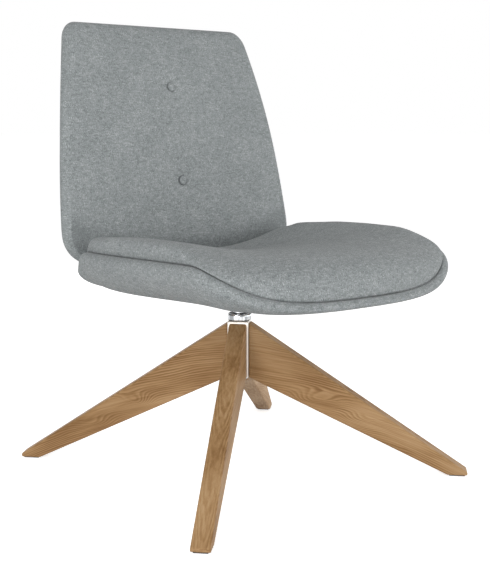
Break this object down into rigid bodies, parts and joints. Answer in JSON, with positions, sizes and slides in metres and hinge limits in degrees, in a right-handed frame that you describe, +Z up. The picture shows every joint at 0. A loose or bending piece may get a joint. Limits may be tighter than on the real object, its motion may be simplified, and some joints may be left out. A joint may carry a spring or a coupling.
{
  "type": "lounge chair",
  "caption": "Armless swivel lounge chair: dished upholstered seat with raised sides, a buttoned upholstered back and splayed oak legs on a chromed swivel hub.",
  "frame": {"origin": "on the floor, under the centre of the chair's bounding box", "axes": "+Z up, a sitter faces -Y, so +X is at the sitter's left"},
  "size_m": [0.5996, 0.6346, 0.802],
  "materials": {
    "fabric": "grey melange weave",
    "oak": "oiled oak, grain along the leg",
    "plywood": "bare birch plywood",
    "chrome": "polished chrome plate",
    "steel": "zinc-plated steel",
    "nylon": "black nylon"
  },
  "bodies": {
    "base": {"base_hub": "chrome", "leg_front_right": "oak", "leg_front_left": "oak", "leg_rear_right": "oak", "leg_rear_left": "oak", "glide_front_right": "nylon", "glide_front_left": "nylon", "glide_rear_right": "nylon", "glide_rear_left": "nylon", "leg_bolt_front_right_inner": "steel", "leg_bolt_front_right_outer": "steel", "leg_bolt_front_left_inner": "steel", "leg_bolt_front_left_outer": "steel", "leg_bolt_rear_right_inner": "steel", "leg_bolt_rear_right_outer": "steel", "leg_bolt_rear_left_inner": "steel", "leg_bolt_rear_left_outer": "steel", "swivel_collar": "chrome", "collar_ring": "nylon", "upper_bush": "nylon", "lower_bush": "nylon", "thrust_washer": "steel"},
    "seat": {"spindle": "chrome", "retaining_washer": "steel", "retaining_clip": "steel", "mounting_plate": "steel", "plate_bolt_1": "steel", "plate_bolt_2": "steel", "plate_bolt_3": "steel", "plate_bolt_4": "steel", "tee_nut_1": "steel", "tee_nut_2": "steel", "tee_nut_3": "steel", "tee_nut_4": "steel", "seat_board": "plywood", "back_board": "plywood", "bracket_right": "steel", "bracket_left": "steel", "bracket_screw_1": "steel", "bracket_screw_2": "steel", "bracket_screw_3": "steel", "bracket_screw_4": "steel", "bracket_screw_5": "steel", "bracket_screw_6": "steel", "bracket_screw_7": "steel", "bracket_screw_8": "steel", "seat_tray": "fabric", "seat_pad": "fabric", "back_pad": "fabric", "button_lower": "fabric", "button_upper": "fabric"}
  },
  "joints": [
    {"name": "swivel", "type": "hinge", "parent": "base", "child": "seat", "pos_m": [0, 0.01691, 0.27], "axis": [0, 0, 1], "continuous": true}
  ]
}
